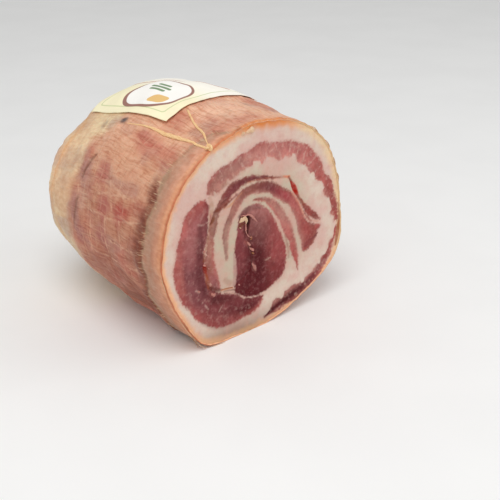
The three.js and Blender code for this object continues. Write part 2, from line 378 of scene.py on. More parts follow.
# Bands of lean from the outside in: colours along the band, tone of its outer and inner side, length of
# its lobes and how far they reach out and in, marbling, and its route through the fat as x, z and width
LEAN_BANDS = [
    ("maroon deep maroon maroon purple purple mauve mauve red", "brick", "maroon", (15, 3.6, 0.8), 0.3, [
        (7, 21.6, 1), (0, 18.2, 9), (-8, 17.6, 14), (-14, 18.6, 16), (-24, 21.6, 23.5), (-33.5, 25, 23.5),
        (-43.3, 32.5, 21.4), (-50.3, 43.5, 21.4), (-53.2, 57, 22.6), (-52.8, 68, 23), (-50.4, 78, 23),
        (-47.2, 87, 19.2), (-43.5, 95, 12.5), (-41, 100.5, 3),
    ]),
    ("salmon peach light bright rose brick red red maroon deep deep", "rose", "light", (8, 2.6, 3.4), 0.6, [
        (-37, 104.4, 6), (-33, 109, 10), (-26.5, 112.8, 11), (-10.5, 117.6, 10.6), (4, 120.4, 11),
        (12, 120.6, 10), (26.5, 117.6, 11.5), (33.5, 116, 10.5), (39.5, 111.8, 11.4), (46.5, 106.2, 10.5),
        (52.6, 98.4, 11), (56.8, 92.2, 9.5), (63.4, 86, 6.5), (66.4, 81, 7.6), (71.8, 65.5, 7.2),
        (74.2, 59, 5), (74.4, 54.4, 1.2), (73, 50, 2.6), (72.2, 44, 3.6), (68, 36, 6.6), (60, 26, 9),
        (50, 18.6, 10), (39, 14.6, 11), (18, 9, 8), (8, 5, 3),
    ]),
    ("salmon tan brown maroon maroon maroon maroon maroon brown", "brown", "brown", (5.5, 2, 0.8), 0.3, [
        (-35.8, 77, 4.4), (-33, 89, 5.8), (-29.4, 93.4, 6.4), (-22.4, 99.8, 9), (-13, 104.2, 7),
        (-3, 105, 4.4), (11, 102, 3.4), (21, 100.2, 1),
    ]),
    ("tan tan salmon brown maroon crimson rose red red", "brown", "peach", (13, 1.6, 0.8), 0.2, [
        (-24.6, 57.5, 2.4), (-25.6, 70, 4.6), (-25, 76, 5.2), (-22.8, 82, 5.2), (-19.6, 87, 5.2),
        (-16.6, 91.6, 6.6), (-11.6, 95.8, 7), (-4.6, 97.8, 6.4), (4, 98, 7.8), (12, 95.6, 8.4),
        (28.8, 83.8, 8.8), (35, 76.7, 8.5), (39.5, 68.5, 9), (44, 60, 13), (48, 53, 15), (46, 46.5, 9),
        (44, 43.5, 4),
    ]),
    ("brown salmon peach rose brick red", "peach", "rose", (11, 0.8, 0.8), 0.3, [
        (-2, 91, 0.8), (3, 90.2, 2.4), (9, 87.8, 4), (14.6, 83.4, 5.4), (19.8, 77.2, 6.2), (29, 61, 6.8),
        (35.2, 43, 5.4), (38, 30, 1.2),
    ]),
    ("salmon salmon salmon brown mauve mauve", "rose", "brown", (5, 1, 1.4), 0.4, [
        (-36.4, 79, 4.4), (-38.2, 64.8, 6.4), (-38.4, 57.8, 8), (-34.3, 43.8, 7.4), (-31.6, 39.8, 3),
    ]),
    ("brown red brown", "red", "brown", (6, 1, 1), 0.2, [
        (40, 80, 1), (43, 75, 3.2), (47.6, 69.6, 5), (52.6, 65.6, 4.2), (57.6, 61.6, 1),
    ]),
    ("red red", "rose", "maroon", (5, 1, 1), 0.2, [(48, 54, 8), (54, 56, 6), (58.5, 57, 1.5)]),
    ("maroon maroon", "rose", "maroon", (5, 1, 1), 0.2, [(46, 47, 8), (52, 49.5, 5), (56, 52, 1.5)]),
]

# Round core, as x, z
CORE = [
    (-17.6, 38), (-16.8, 45), (-17, 53), (-18, 60), (-17.4, 67), (-14.8, 80), (-12.4, 84.6), (-7, 87.4),
    (0, 87.8), (5, 85.6), (13.4, 77.4), (25, 55), (27.2, 47), (27, 39.5), (24, 32), (16, 27), (8, 24.4),
    (0, 23.6), (-8, 25), (-14.6, 29), (-18, 33),
]

# Lines and spots of fat in the lean, as x, z and width
FAT_LINES = [
    [
        (-21.6, 96, 0.4), (-15.8, 99.4, 1.1), (-11.6, 101, 1.6), (-6, 101.9, 1.4), (4, 101.9, 1),
        (12, 100.8, 1),
    ],
    [(-29, 35.2, 1), (-24, 34.2, 1.8), (-20.5, 32.8, 1.6), (-18, 30.8, 0.6)],
    [(-38, 86, 0.8), (-37.4, 92, 1.8), (-35.4, 96.6, 2.6), (-34.6, 100.4, 2.6), (-38.4, 102.4, 1.8)],
    [(31, 92, 0.4), (40, 76, 0.9), (43.6, 67.6, 0.8), (48, 62.6, 1.2), (55, 60.2, 2.4)],
]

# Faint seams of fat across the lean, as x, z and width
FAINT_SEAMS = [
    [(-13.5, 120, 0.6), (-9.6, 113, 1.2)],
    [(-8, 124, 0.8), (-6.4, 120.6, 0.6)],
    [(0.6, 118.4, 1), (3.4, 117, 1)],
    [(5.4, 112, 1.2), (7.6, 115.4, 0.8), (8.6, 119, 0.4)],
    [(9, 118, 0.4), (15.4, 120.4, 0.6)],
    [(16, 124.6, 1), (17, 121.4, 0.8), (19.6, 117, 0.8), (21.4, 112.6, 1)],
    [(30.6, 122.6, 0.8), (28.8, 115, 0.6), (30, 111.4, 1)],
    [(36.6, 119.6, 0.6), (36, 115, 0.6), (34.6, 110, 1)],
    [(44, 114.6, 0.6), (42, 110.6, 0.6), (40.6, 106, 0.8)],
    [(-20.6, 119, 0.5), (-18.4, 110, 1)],
    [(-29, 117, 0.6), (-27.4, 112.6, 0.6)],
    [(52.4, 106.6, 0.8), (49.6, 104.4, 0.8), (46.4, 103, 0.8)],
    [(57.6, 99.6, 0.5), (54, 97, 0.6), (50, 95.4, 0.8)],
    [(-46.6, 86.6, 0.4), (-43.6, 85.4, 0.6), (-39.4, 86, 0.6)],
    [(-44.8, 70.4, 0.4), (-42.6, 67.2, 0.6)],
    [(-44, 33.6, 0.6), (-39.6, 27.6, 0.4)],
    [(-49, 43.6, 0.8), (-46.8, 41.8, 1)],
    [(-31, 23, 0.2), (-28, 26, 0.3)],
    [(7.4, 47.8, 0.4), (9.4, 46.6, 0.8), (13, 46.8, 0.4)],
    [(-20, 32.6, 0.6), (-9.6, 25.6, 0.5), (-2, 23.8, 0.4)],
]
SEAM_STRENGTH = 0.6

# Sides of the bands: level and depth of their lobes and fingers, and how far their tone takes over
LOBE_LEVEL = 0.33
FINGER_DEPTH = 0.9
SIDE_TONE = 0.7
CORE_MARBLE = 0.1

# Unevenness of the lean's tone, broad and fine
CLOUDS = 0.2
MOTTLE = 0.16


def layered(along, names):
    """Colour that runs through the named ones from end to end of a band."""
    colours = np.array([COLOURS[name] for name in names])
    steps = np.linspace(0, along.max(), len(colours))
    return np.stack([np.interp(along, steps, colours[:, i]) for i in range(3)], -1)


def band_values(x, z, number, band):
    """Gap to one band of lean, its colour, grain, pale clefts between its lobes, and marbling."""
    names, outer_tone, inner_tone, (period, outer, inner), marble, route = band
    gap, along, side = follow(x, z, route)
    across = side / np.maximum(np.abs(side) - gap, 0.5)
    grain = np.stack([along, side, number * 31.0 + 0 * side], -1)
    bundle = np.abs(noise(grain, (period, 2.5 * period, 9), 40))
    bundle += 0.18 * np.abs(noise(grain, period / 3, 41))
    gap = gap - (bundle - LOBE_LEVEL) * np.where(side > 0, outer, inner)
    fingers = smooth(noise(grain, (0.5 * period, 2 * period, 9), 43), 0.1, 0.6)
    gap = gap + FINGER_DEPTH * inner * fingers * smooth(-across, -0.4, 0.9)
    colour = layered(along, names.split())
    colour = blend(colour, COLOURS[outer_tone], SIDE_TONE * smooth(across, 0.1, 1))
    colour = blend(colour, COLOURS[inner_tone], SIDE_TONE * smooth(-across, 0.1, 1))
    cleft = 0.7 * marble * (1 - smooth(bundle, 0.0, 0.16))
    return gap, colour, grain, cleft, marble


def core_values(x, z, place):
    """The same for the round core."""
    gap = inside(x, z, CORE) - 0.4 * noise(place, 4, 42)
    # Lighter and greyer towards the top of the core: partly the core's own tone, partly a painted sheen.
    colour = blend(COLOURS["deep"], rgb(172, 114, 108), smooth(z + 0.45 * x, 52, 88))
    right = smooth(x, 2, 18) * (1 - smooth(z, 72, 90)) * mix(0.45, 1, smooth(z, 30, 52))
    colour = blend(colour, rgb(166, 82, 80), 0.9 * right)
    colour = blend(colour, rgb(138, 68, 70), 0.9 * smooth(-x, 4, 13) * smooth(z, 30, 54))
    return gap, colour, place + 400, 0 * gap, CORE_MARBLE


def face_values(x, z, place):
    """Gap to the lean, its tint and grain, marbling and pale clefts over the cut face."""
    layers = [band_values(x, z, number, band) for number, band in enumerate(LEAN_BANDS)]
    layers.append(core_values(x, z, place))
    lean = np.full(x.shape, np.inf)
    total = marble = cleft = np.zeros(x.shape)
    tint = grain = np.zeros(x.shape + (3,))
    for gap, colour, layer_grain, layer_cleft, layer_marble in layers:
        weight = 1 / (1 + np.maximum(gap + 1.5, 0)) ** 4
        tint = tint + colour * weight[..., None]
        total = total + weight
        nearest = gap < lean
        grain = np.where(nearest[..., None], layer_grain, grain)
        marble = np.where(nearest, layer_marble, marble)
        cleft = np.where(nearest, layer_cleft, cleft)
        lean = np.minimum(lean, gap)
    for line in FAT_LINES:
        lean = np.maximum(lean, -follow(x, z, line)[0])
    for line in FAINT_SEAMS:
        cleft = np.maximum(cleft, SEAM_STRENGTH * (1 - smooth(follow(x, z, line)[0], -0.4, 1.0)))
    cloudy = 1 + CLOUDS * noise(place, 15, 50) + MOTTLE * noise(place, 4.5, 51)
    return lean, (tint / total[..., None]) * cloudy[..., None], grain, marble, cleft


# Where the orange of the rim is strongest: angle and spread
RIM_TOP = (84, 26)


def rim_glow(angle):
    """Colour of the fat's outer edge and how far it shows."""
    right = smooth(np.cos(np.radians(angle - 18)), 0.62, 0.85)
    top = hump(angle, *RIM_TOP)
    foot = hump(angle, 262, 34)
    glow = blend(rgb(246, 188, 144), rgb(226, 138, 76), top)
    glow = blend(glow, rgb(238, 206, 166), right)
    glow = blend(glow, rgb(206, 162, 124), foot)
    return glow, 2.6 + 2.2 * top + 1.4 * right + 1.6 * foot


def fat_tint(place, lean, fraction, angle):
    x, z, _ = np.moveaxis(place, -1, 0)
    warm = smooth(noise(place, 18, 6) + 0.5 * noise(place, 6, 8), -0.6, 0.6)
    ring = blend(rgb(226, 206, 190), rgb(222, 186, 174), warm)
    inner = blend(rgb(204, 188, 166), rgb(212, 176, 160), warm)
    fat = blend(inner, ring, smooth(fraction, 0.5, 0.75))
    fat = blend(fat, rgb(214, 170, 158), 0.5 * bell(x, 30, 16) * bell(z, 107, 5))
    fat = blend(fat, rgb(198, 142, 130), 0.4 * np.exp(-np.maximum(lean, 0)))
    # Painted shade: the fat turns darker brown towards its foot, by the floor.
    fat = blend(fat, rgb(150, 112, 94), 0.8 * (1 - smooth(z, 3, 18)) * bell(x, -20, 40))
    glow, reach = rim_glow(angle)
    depth = (1 - fraction) * HALF_WIDTH
    uneven = reach * (1 + 0.4 * noise(place, 3.5, 7))
    return blend(fat, glow, 1 - smooth(depth, 0.2 * uneven, 1.6 * uneven))


# Stains of the seams, and painted shade down the pocket: colour, strength, how broken it is, how softly it
# ends, route with widths
STAINS_AND_SHADE = [
    ((84, 28, 36), 0.55, 0.35, 3, [
        (-45, 84, 1), (-45, 76, 2.6), (-45.4, 66, 2), (-46.2, 57.2, 3), (-43.8, 45, 4), (-39, 37.6, 3),
        (-30, 31, 1.6),
    ]),
    ((186, 142, 120), 0.7, 0.5, 1.2, [(-37, 101, 2), (-36, 96, 3), (-37.4, 84, 1.4)]),
    ((192, 140, 120), 0.65, 0.7, 1.4, [(-35.8, 90, 2), (-36.4, 78, 3), (-38.4, 64, 2)]),
    ((140, 84, 58), 0.85, 0.3, 0.8, [(-36.6, 84.4, 1.2), (-34.6, 86.4, 1.8), (-34.2, 88, 1)]),
    ((126, 62, 46), 0.85, 0.2, 0.8, [(-34, 91.6, 1.2), (-31.4, 92, 2.4), (-29, 92.4, 1.8)]),
    ((118, 56, 44), 0.85, 0.2, 0.7, [(-25.4, 93.4, 0.8), (-15, 98.2, 0.5)]),
    ((204, 146, 112), 0.8, 0.4, 0.8, [(-26.4, 91.6, 0.6), (-20.6, 92.8, 1.4), (-11.6, 98, 0.8)]),
    ((150, 88, 62), 0.8, 0.5, 0.9, [
        (-38.8, 77, 0.6), (-40.2, 70.2, 0.8), (-41.8, 66, 1), (-42.6, 61.5, 1),
    ]),
    ((148, 40, 24), 0.95, 0.1, 0.8, [(-42.6, 59, 1), (-41.9, 56.8, 2.4), (-40.6, 51, 1)]),
    ((156, 80, 52), 0.9, 0.35, 0.9, [(-41, 52, 1.6), (-39.2, 43.6, 2.2), (-37.4, 41, 1.6)]),
    ((100, 38, 34), 0.9, 0.2, 1, [(-38.4, 42, 1.2), (-34.2, 39.6, 2.6), (-29, 37.6, 1.2)]),
    ((208, 132, 90), 0.9, 0.2, 0.8, [(-29.4, 37.6, 0.6), (-20, 36.2, 0.7)]),
    ((96, 34, 34), 0.8, 0.3, 0.8, [(-27, 36, 0.4), (-18, 34, 0.6), (-14, 30.4, 0.5)]),
    ((182, 140, 122), 0.7, 0.6, 1.6, [
        (-33, 103, 3), (-26, 106.8, 2.6), (-18, 109.8, 2), (-10, 111.8, 1.4),
    ]),
    ((182, 110, 84), 0.8, 0.5, 0.8, [(-6, 103.4, 0.4), (8, 102.6, 0.6), (25, 99.4, 1)]),
    ((224, 128, 92), 0.9, 0.1, 0.9, [(23.6, 100.2, 0.6), (28.2, 98.8, 1.8)]),
    ((150, 74, 54), 0.9, 0.1, 0.7, [(28, 98.8, 1), (30.8, 94.8, 1.4), (31.4, 92.8, 1)]),
    ((182, 40, 28), 1, 0.1, 0.6, [
        (30.8, 94.8, 0.8), (32.4, 91.8, 3.4), (34, 88.6, 3.8), (37.4, 82.6, 1.4),
    ]),
    ((154, 82, 66), 0.85, 0.2, 0.8, [(36.8, 83.4, 1.4), (41.8, 76.4, 2.4)]),
    ((222, 152, 130), 0.85, 0.2, 0.7, [(30.6, 88, 0.5), (37.2, 79, 1.1), (43.4, 67, 0.8)]),
    ((206, 150, 132), 0.7, 0.3, 0.8, [(44.4, 67.6, 0.6), (47.6, 63.6, 1), (56, 60.4, 1.2)]),
    ((172, 122, 120), 0.65, 0.3, 1.2, [
        (-18.8, 59, 0.6), (-17.8, 53, 2.4), (-17.6, 45.4, 3), (-18.6, 38, 2),
    ]),
    ((118, 82, 76), 0.7, 0.4, 1.2, [(-14, 83, 1.6), (-9, 85.6, 3.4), (-2, 85.8, 2.4), (3, 84.4, 1.2)]),
    ((120, 68, 40), 0.85, 0.2, 0.8, [(-14.4, 76.4, 1), (-12, 76.8, 2.4), (-10.2, 77, 1.2)]),
    ((86, 32, 34), 0.7, 0.3, 1.2, [(-10.4, 76, 1.2), (-10, 73.4, 2), (-9.6, 70, 1)]),
    # painted shade: near-black brown down the deep pocket of the core
    ((66, 22, 20), 0.95, 0.1, 0.8, [(-6.9, 81.8, 1), (-6.2, 78.6, 3), (-7.4, 70, 1.4)]),
    ((80, 28, 26), 0.8, 0.6, 1, [
        (-9.6, 69, 1.2), (-6.5, 62, 2.4), (-3.4, 55, 2), (-3, 48, 1.6), (-5, 40, 1),
    ]),
    ((168, 108, 104), 0.7, 0.4, 1.2, [(-2, 47.6, 1.2), (-1.4, 44, 3), (0, 42, 1)]),
    ((166, 96, 90), 0.7, 0.4, 1.2, [(-9, 64.6, 1.6), (-6.6, 62.4, 2.4)]),
    ((170, 104, 98), 0.7, 0.4, 1.4, [(-38, 38, 2), (-35.6, 36.4, 2.6)]),
    ((178, 132, 116), 0.5, 0.2, 2, [(-26, 43.6, 2), (-22, 40, 3)]),
    ((120, 50, 54), 0.4, 0.3, 3, [(-44, 21, 3), (-34, 14.6, 4), (-24, 12.6, 3), (-16, 13, 2)]),
    ((190, 112, 100), 0.45, 0.4, 3, [(-62.6, 72, 1), (-62, 61, 4), (-59.6, 46, 3)]),
    ((160, 100, 88), 0.7, 0.3, 1.2, [(25.6, 59, 0.6), (28.4, 50, 1.4), (29.4, 42, 1)]),
    ((88, 34, 36), 0.6, 0.2, 2.6, [(-36, 31, 1), (-28, 30, 3), (-20, 28.6, 1)]),
    ((160, 86, 52), 0.95, 0.1, 0.9, [(75.6, 69, 0.6), (77.6, 61, 2.4), (76, 46, 3), (74.6, 38, 1.6)]),
]


def stains_and_shade(colour, x, z, place):
    """The seams' stains, and the painted shade of the pocket, over a colour."""
    for number, (shade, strength, broken, softness, route) in enumerate(STAINS_AND_SHADE):
        gap = follow(x, z, route)[0]
        fleck = smooth(noise(place, 2.6, 30 + number), -0.3, 0.3)
        share = strength * (1 - smooth(gap, -0.5, softness)) * (1 - broken * (1 - fleck))
        colour = blend(colour, rgb(*shade), share)
    return colour


# Relief of the cut: size, depth and seed of its unevenness, and the groove of its seams
FACE_RELIEF = [(26, 0.35, 9), (6, 0.14, 10), (1.6, 0.05, 11)]
LEAN_SUNK = 0.3
SEAM_DEPTH = 0.9
SEAM_SPREAD = 0.9


def face_depth(x, z, lean, place, fraction):
    """How deep the cut lies behind its plane."""
    depth = LEAN_SUNK * smooth(-lean, -0.3, 1.5)
    for size, rise, seed in FACE_RELIEF:
        depth += rise * (1 + noise(place, size, seed))
    broken = 0.6 + 0.4 * noise(place, 5, 12)
    for seam in (TURN_SEAM, CORE_SEAM):
        depth += SEAM_DEPTH * broken * bell(follow(x, z, seam)[0], 0, SEAM_SPREAD)
    depth += SLIT_DEPTH * smooth(-follow(x, z, SLIT)[0], -0.6, 1.0)
    depth += POCKET_DEPTH * smooth(-follow(x, z, POCKET)[0], -0.3, 1.2)
    return depth * smooth(1 - fraction, 0, 0.02) + 0.7 * smooth(fraction, 0.985, 1)


def disc_places(cells):
    """A square grid pressed into a disc: share of the radius and angle in degrees of each point."""
    line = np.linspace(-1, 1, cells + 1)
    a, b = np.meshgrid(line, line, indexing="ij")
    wide = np.abs(a) > np.abs(b)
    fraction = np.where(wide, a, b)
    safe = np.where(fraction == 0, 1, fraction)
    turn = np.where(wide, 45 * b / safe, 90 - 45 * a / safe)
    angle = np.where(fraction < 0, turn + 180, turn) % 360
    return np.abs(fraction), angle


def make_cut_face():
    fraction, angle = disc_places(FACE_CELLS)
    rim = roll_point(angle, 0, -SLAB_INSET)
    x = rim[..., 0] * fraction
    z = mix(AXIS_HEIGHT, rim[..., 2], fraction)
    place = np.stack([x, z, 0 * x], -1)
    lean, tint, grain, marble, cleft = face_values(x, z, place)
    tint = stains_and_shade(tint, x, z, place)
    fat = stains_and_shade(fat_tint(place, lean, fraction, angle), x, z, place)
    depth = face_depth(x, z, lean, place, fraction)
    front = np.stack([x, depth, z], -1).reshape(-1, 3)
    edge = border(*x.shape)
    back_edge = front[edge] * (1, 0, 1) + (0, SLAB_DEPTH, 0)
    points = np.vstack([front, back_edge, [[0, SLAB_DEPTH, AXIS_HEIGHT]]])
    behind = len(front) + np.arange(len(edge))
    faces = grid_faces(*x.shape, closed=False) + strip_faces(edge, behind)
    faces += fan_faces(behind, len(points) - 1)

    values = {"lean": lean, "lean_tint": tint, "fat_tint": fat, "grain": grain, "marble": marble}
    values["cleft"] = cleft
    values = {name: with_extra(value, edge, [0]) for name, value in values.items()}
    return make_piece("cut_face", points, faces, "pancetta", values)


# Casing: rind at the rim, the bare band, the cased wall and the closed end

COLUMNS = 512
BAND_ROWS = 14
STEP_ROWS = 5
WALL_ROWS = 80
END_ROWS = 68
LIP = [(RECESS, -1.5), (1.0, -1.5), (0.35, -1.25), (0.05, -0.95), (0.0, -0.6), (0.25, -0.2)]

# Patches of the wall: angle, back, reach round and along, colour and strength; the dark brown ones low by
# the floor are painted shade with a painted reflected brown
PATCHES = [
    (167, 57, 8, 7, (176, 92, 84), 0.8),
    (166, 41, 7, 8, (182, 86, 76), 0.9),
    (161, 25, 6, 7, (176, 96, 82), 0.7),
    (165, 75, 5, 6, (176, 100, 92), 0.4),
    (168, 84, 9, 6, (198, 158, 138), 0.5),
    (153, 66, 9, 7, (186, 104, 92), 0.7),
    (183, 60, 9, 7, (180, 104, 94), 0.7),
    (187, 86, 7, 6, (164, 96, 92), 0.6),
    (131, 45, 6, 14, (196, 104, 88), 0.6),
    (117, 38, 6, 10, (212, 140, 116), 0.5),
    # painted shade, reddish brown, low on the side by the floor
    (198, 56, 14, 16, (162, 88, 64), 0.6),
    # painted shade with a painted reflected brown, low on the side by the floor
    (204, 38, 10, 9, (150, 76, 46), 0.75),
    (182, 27, 10, 6, (160, 92, 74), 0.6),
    (143, 56, 10, 12, (222, 166, 132), 0.4),
    (140, 30, 7, 6, (214, 150, 112), 0.5),
    (205, 75, 12, 14, (170, 108, 92), 0.6),
    # painted shade with a painted reflected brown, at the foot of the side by the floor
    (217, 42, 9, 20, (128, 58, 32), 0.85),
    (156, 84, 9, 7, (178, 128, 122), 0.7),
    (176, 90, 10, 5, (170, 122, 118), 0.7),
    (155, 106, 14, 10, (188, 150, 130), 0.5),
    (152, 97, 8, 6, (178, 138, 120), 0.4),
    (90, 32, 18, 14, (252, 208, 178), 0.8),
    (130, 64, 5, 6, (196, 148, 130), 0.4),
    (150, 134, 9, 7, (186, 152, 142), 0.4),
    (131, 92, 4, 3.4, (160, 138, 118), 0.5),
    (127, 74, 2.6, 3.6, (98, 84, 84), 1.0),
]

# Creases of the shoulder and threads of the net that stand out: angle and back, creases with width
SHOULDER_SLITS = [
    [(147, 80, 0.3), (149.5, 82.4, 1.1), (153, 83.4, 0.6), (156, 85.6, 1.0), (159.5, 86.3, 0.3)],
    [(169, 87.6, 0.2), (171, 88.8, 0.8), (174, 89, 0.5), (178, 90.6, 0.7), (184, 91.6, 0.2)],
]
THREADS = [
    [(162.5, 90), (172, 85), (172.5, 75), (171.5, 62), (170.5, 43), (164.5, 16)],
    [(147, 63.5), (151.5, 58.5), (162, 51), (167.5, 49)],
    [(157.5, 71), (156, 52.5), (160, 38)],
    [(163.5, 66.5), (161.5, 58), (160.5, 49.5), (158.5, 41.5), (158, 30)],
    [(174.5, 71.5), (194, 73)],
    [(170, 40.5), (175.5, 40.5), (186, 39)],
    [(172, 54), (184, 56), (198, 56)],
    [(180, 70), (182, 52), (182, 36), (179, 20)],
    [(192, 74), (193, 56), (192, 40), (189, 24)],
]


def arc(angle):
    return np.radians(angle) * HALF_WIDTH


def nearest_gap(angle, back, routes):
    """Gap to the nearest of some routes over the wall."""
    gap = np.full(np.shape(angle), np.inf)
    for route in routes:
        flat = [(arc(at), *rest) for at, *rest in route]
        gap = np.minimum(gap, follow(arc(angle % 360), back, flat)[0])
    return gap


def fine_relief(angle, back):
    """Wrinkles, torn fringe and slits of the wall."""
    place = round_place(angle, back)
    past = back - torn_edge(angle)
    cased = smooth(past, 0, 3) * smooth(back, 2, 8)
    wrinkles = 0.3 * noise(place, (3, 3, 10), 13) + 0.2 * noise(place, (9, 9, 2.6), 14)
    fringe = 0.35 * noise(place, (2.2, 2.2, 7), 15) * bell(past, 1.8, 2.4)
    end = 0.8 * noise(place, (4, 4, 40), 16) * smooth(back, 112, 150) * closing_at(back)
    slits = -0.6 * smooth(-nearest_gap(angle, back, SHOULDER_SLITS), -0.9, 0.6)
    return wrinkles * (0.35 + 0.65 * cased) + fringe + end + slits


def wall_colour(angle, back):
    """Colour of the cased wall and the closed end, with painted light on its top and painted shade low on
    its side and in the slits of the shoulder.
    """
    place = round_place(angle, back)
    height = np.sin(np.radians(angle))
    # Painted light: the salmon of the wall turns lighter towards the top of the roll.
    salmon = blend(rgb(198, 140, 112), rgb(238, 188, 156), smooth(height, 0.1, 0.95))
    # Painted shade, reddish brown, on the lower side of the wall near the cut, where the roll turns under.
    shade_below = hump(angle, 214, 26) * (1 - smooth(back, 60, 100))
    salmon = blend(salmon, rgb(168, 88, 66), 0.75 * shade_below)
    salmon = blend(salmon, rgb(196, 112, 94), 0.6 * smooth(noise(place, (12, 12, 16), 17), -0.1, 0.6))
    salmon = blend(salmon, rgb(182, 134, 122), 0.5 * smooth(noise(place, (9, 9, 14), 27), 0.1, 0.6))
    tan_from = 96 - 18 * hump(angle, 126, 14) + 5 * noise(place, 12, 19)
    streaks = smooth(noise(place, (12, 12, 26), 20), -0.5, 0.5)
    tan = blend(rgb(244, 218, 176), rgb(226, 188, 150), streaks)
    tan = blend(tan, rgb(194, 162, 148), 0.6 * smooth(noise(place, 13, 21), 0.1, 0.6))
    tan = blend(tan, rgb(230, 176, 122), 0.6 * bell(back, 121 + 3 * noise(place, 14, 24), 3))
    tan = tan * (0.9 + 0.22 * hump(angle, 155, 22))[..., None]
    wall = blend(salmon, tan, smooth(back, tan_from - 7, tan_from + 6))
    for at, far, around, along, colour, strength in PATCHES:
        off = (arc(turned(angle, at)) / around) ** 2 + ((back - far) / along) ** 2
        ragged = off * (1 + 0.6 * noise(place, 4, 18))
        wall = blend(wall, rgb(*colour), strength * np.exp(-ragged ** 2))
    # Painted shade: dark brown down the sunk slits of the shoulder.
    slit = smooth(-nearest_gap(angle, back, SHOULDER_SLITS), -1.6, 0.6)
    return blend(wall, rgb(122, 78, 56), 0.75 * slit)


def band_colour(angle, back):
    """Colour of the bare band from the rim to the torn edge of the casing."""
    place = round_place(angle, back)
    share = np.clip(back / np.maximum(torn_edge(angle), 1), 0, 1)
    uneven = share + 0.15 * noise(place, 5, 28)
    upper = hump(angle, 125, 22)
    band = blend(rgb(216, 156, 122), rgb(204, 148, 120), smooth(uneven, 0.1, 0.5))
    band = blend(band, rgb(234, 178, 150), 0.7 * upper)
    band = blend(band, rgb(240, 176, 132), 0.6 * bell(back, 2.4, 1.8))
    band = blend(band, rgb(188, 146, 122), smooth(uneven, 0.4, 0.7) * (1 - 0.4 * upper))
    band = blend(band, rgb(166, 138, 110), 0.8 * smooth(uneven, 0.78, 0.96) * (1 - 0.4 * upper))
    return blend(band, rgb(186, 116, 84), 0.4 * smooth(noise(place, (5, 5, 2.5), 29), 0.1, 0.6))


def rim_reach(angle):
    """How far the orange of the rind shows on the wall."""
    return 1.1 + 1.6 * hump(angle, *RIM_TOP)


def rind_colour(angle, back, proud):
    """The thin brown line of the rind, with the glow of the fat inside it."""
    place = round_place(angle, back)
    right = smooth(np.cos(np.radians(angle - 18)), 0.55, 0.85)
    top = hump(angle, *RIM_TOP)
    brown = blend(rgb(204, 120, 80), rgb(228, 144, 84), top)
    brown = blend(brown, rgb(216, 172, 122), right)
    dark = smooth(noise(place, 4, 31), -0.2, 0.5) * (0.4 + 0.6 * hump(angle, 112, 14))
    brown = blend(brown, rgb(146, 78, 48), 0.8 * dark * (1 - right))
    inner = blend(rgb(244, 192, 152), rgb(232, 202, 158), right)
    return blend(inner, brown, smooth(proud, -0.95, -0.45))


def wall_tint(angle, back, proud):
    past = back - torn_edge(angle)
    bare = (1 - smooth(past, -0.8, 0.8)) * smooth(peel_width(angle), 0, LEAST_PEEL)
    tint = blend(wall_colour(angle, back), band_colour(angle, back), bare)
    return blend(tint, rind_colour(angle, back, proud), bell(back, 0, rim_reach(angle)))


def tear_at(angle, back):
    """How far the dark comb of torn threads shows, sharp at the torn edge and fading into the wall."""
    place = round_place(angle, 0)
    past = back - torn_edge(angle) + 1.6 * hump(angle, 190, 12) - noise(place, 2.4, 25)
    middle = hump(angle, 173, 30)
    reach = 3.4 + 1.8 * noise(place, 6, 32) + 4 * middle
    shown = smooth(past, -0.8, 0.4) * np.exp(-(np.maximum(past, 0) / reach) ** 4)
    patchy = mix(0.25 + 0.75 * smooth(noise(place, 7, 23), -0.4, 0.4), 0.9, 0.9 * middle)
    patchy = patchy * mix(0.2, 1, smooth(np.abs(turned(angle, 126)), 12, 23))
    return shown * patchy * smooth(peel_width(angle), 3, 9)


def casing_rows(angle):
    """Rows of the casing as how far back each lies and how far proud, from the recess to the tip."""
    start = np.maximum(LEAST_PEEL, torn_edge(angle))
    flat = 0 * angle
    shares = np.linspace(0, 1, BAND_ROWS)
    backs = [mix(STEP_RUN, start - STEP_RUN, share) for share in shares]
    shares = np.linspace(-1, 1, STEP_ROWS + 2)[1:-1]
    backs += [start + STEP_RUN * share for share in shares]
    shares = np.arange(WALL_ROWS) / WALL_ROWS
    backs += [mix(start + STEP_RUN, SHOULDER_BACK, share) for share in shares]
    shares = 1 - (1 - np.arange(END_ROWS) / END_ROWS) ** 2
    backs += [mix(SHOULDER_BACK, ROLL_LENGTH, share) + flat for share in shares]
    lip = [(back + flat, proud + flat) for back, proud in LIP]
    return np.array(lip + [(back, flat) for back in backs]).transpose(1, 0, 2)


def make_casing():
    turn = 270 + 360 * np.arange(COLUMNS) / COLUMNS
    back, proud = casing_rows(turn)
    angle = np.broadcast_to(turn, back.shape)
    relief = fine_relief(angle, back) * smooth(back, 0.5, 2) * (proud == 0)
    grid = roll_point(angle, back, proud + relief)
    tip = roll_point(np.array(0.0), np.array(float(ROLL_LENGTH)))
    points = np.vstack([grid.reshape(-1, 3), [[0, RECESS, AXIS_HEIGHT]], tip[None]])
    first = np.arange(COLUMNS)
    faces = grid_faces(len(grid), COLUMNS, closed=True)
    faces += fan_faces(first, len(points) - 2)
    faces += fan_faces(first + len(points) - 2 - COLUMNS, len(points) - 1, turned_over=True)
    values = {
        "tint": wall_tint(angle, back, proud),
        "wrap": np.stack([arc(angle), back, back - torn_edge(angle)], -1),
        "tear": tear_at(angle, back),
        "thread": nearest_gap(angle, back, THREADS),
    }
    values = {name: with_extra(value, [0], [-1]) for name, value in values.items()}
    return make_piece("casing", points, faces, "pancetta", values)


# Label: a thin paper sheet over the top of the wall, its front corner curled up a little

